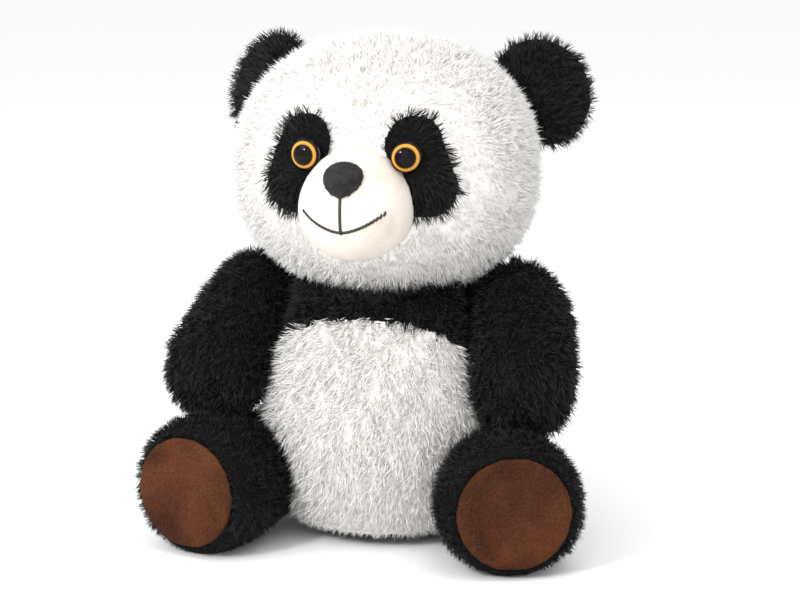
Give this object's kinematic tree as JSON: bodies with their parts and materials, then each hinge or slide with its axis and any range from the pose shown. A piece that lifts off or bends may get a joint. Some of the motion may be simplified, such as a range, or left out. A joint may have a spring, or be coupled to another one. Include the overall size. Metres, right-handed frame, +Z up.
{
  "type": "plush panda",
  "caption": "Sitting plush panda with a turning head, swinging arms, spreading legs, folding ears, domed eyes and velour muzzle and soles.",
  "frame": {"origin": "on the floor plane under the seat, on the toy's middle plane", "axes": "+X to the toy's left, -Y the way it faces, +Z up"},
  "size_m": [0.265, 0.1966, 0.298],
  "materials": {
    "white_plush": "long soft white pile",
    "black_plush": "long soft black pile",
    "cream_velour": "short smooth velour",
    "brown_velour": "short brushed velour",
    "nose_velour": "short dark velour",
    "thread": "satin embroidery thread",
    "eye_dome": "polished clear plastic",
    "eye_iris": "printed amber ring round a black pupil",
    "eye_base": "moulded black",
    "washer": "moulded",
    "fibre": "loose polyester fibre",
    "bag_cloth": "plain woven bag",
    "seam_cloth": "gathered black cloth"
  },
  "bodies": {
    "torso": {"chest_yoke": "black_plush", "belly_panel": "white_plush", "left_back_cover": "black_plush", "right_back_cover": "black_plush", "seat_panel": "black_plush", "torso_stuffing": "fibre", "pellet_bag": "bag_cloth", "left_hip_seam": "seam_cloth", "right_hip_seam": "seam_cloth"},
    "neck_seam": {"neck_seam": "seam_cloth"},
    "neck_ball": {"neck_ball": "fibre"},
    "head": {"head_front_cover": "white_plush", "head_back_cover": "white_plush", "head_stuffing": "fibre", "muzzle_cover": "cream_velour", "muzzle_stuffing": "fibre", "nose": "nose_velour", "mouth_stitching": "thread", "left_eye_patch": "black_plush", "left_eye_dome": "eye_dome", "left_eye_iris": "eye_iris", "left_eye_stem": "eye_base", "left_eye_washer": "washer", "right_eye_patch": "black_plush", "right_eye_dome": "eye_dome", "right_eye_iris": "eye_iris", "right_eye_stem": "eye_base", "right_eye_washer": "washer"},
    "left_ear": {"left_ear_front": "black_plush", "left_ear_back": "black_plush"},
    "left_shoulder_disc": {"left_shoulder_disc": "seam_cloth"},
    "left_arm": {"left_arm_outer_cover": "black_plush", "left_arm_inner_cover": "black_plush", "left_arm_stuffing": "fibre"},
    "left_leg": {"left_leg_top_cover": "black_plush", "left_leg_under_cover": "black_plush", "left_leg_stuffing": "fibre", "left_sole_pad": "brown_velour"},
    "right_ear": {"right_ear_front": "black_plush", "right_ear_back": "black_plush"},
    "right_shoulder_disc": {"right_shoulder_disc": "seam_cloth"},
    "right_arm": {"right_arm_outer_cover": "black_plush", "right_arm_inner_cover": "black_plush", "right_arm_stuffing": "fibre"},
    "right_leg": {"right_leg_top_cover": "black_plush", "right_leg_under_cover": "black_plush", "right_leg_stuffing": "fibre", "right_sole_pad": "brown_velour"}
  },
  "joints": [
    {"name": "head_turn", "type": "hinge", "parent": "torso", "child": "neck_seam", "pos_m": [0, -0.012, 0.1465], "axis": [0, 0, 1], "range_deg": [-15, 15], "stiffness_Nm_per_rad": 0.8},
    {"name": "head_tilt", "type": "hinge", "parent": "neck_seam", "child": "neck_ball", "pos_m": [0, -0.012, 0.1465], "axis": [0, 1, 0], "range_deg": [-3, 3], "stiffness_Nm_per_rad": 2},
    {"name": "head_nod", "type": "hinge", "parent": "neck_ball", "child": "head", "pos_m": [0, -0.012, 0.1465], "axis": [1, 0, 0], "range_deg": [-5, 5], "stiffness_Nm_per_rad": 2},
    {"name": "left_ear_fold", "type": "hinge", "parent": "head", "child": "left_ear", "pos_m": [0.07196, 0.02038, 0.24917], "axis": [-0.5927, -0.0979, 0.7994], "range_deg": [-12, 12], "stiffness_Nm_per_rad": 0.05},
    {"name": "left_arm_swing", "type": "hinge", "parent": "torso", "child": "left_shoulder_disc", "pos_m": [0.079, -0.014, 0.13], "axis": [-1, 0, 0], "range_deg": [0, 50], "stiffness_Nm_per_rad": 0.15},
    {"name": "left_arm_lift", "type": "hinge", "parent": "left_shoulder_disc", "child": "left_arm", "pos_m": [0.079, -0.014, 0.13], "axis": [0, -1, 0], "range_deg": [0, 35], "stiffness_Nm_per_rad": 0.15},
    {"name": "left_leg_spread", "type": "hinge", "parent": "torso", "child": "left_leg", "pos_m": [0.071, -0.032, 0.037], "axis": [0, 0, 1], "range_deg": [-3, 9], "stiffness_Nm_per_rad": 0.5},
    {"name": "right_ear_fold", "type": "hinge", "parent": "head", "child": "right_ear", "pos_m": [-0.07196, 0.02038, 0.24917], "axis": [-0.5927, 0.0979, -0.7994], "range_deg": [-12, 12], "stiffness_Nm_per_rad": 0.05},
    {"name": "right_arm_swing", "type": "hinge", "parent": "torso", "child": "right_shoulder_disc", "pos_m": [-0.079, -0.014, 0.13], "axis": [-1, 0, 0], "range_deg": [0, 50], "stiffness_Nm_per_rad": 0.15},
    {"name": "right_arm_lift", "type": "hinge", "parent": "right_shoulder_disc", "child": "right_arm", "pos_m": [-0.079, -0.014, 0.13], "axis": [0, 1, 0], "range_deg": [0, 35], "stiffness_Nm_per_rad": 0.15},
    {"name": "right_leg_spread", "type": "hinge", "parent": "torso", "child": "right_leg", "pos_m": [-0.071, -0.032, 0.037], "axis": [0, 0, -1], "range_deg": [-3, 9], "stiffness_Nm_per_rad": 0.5}
  ]
}
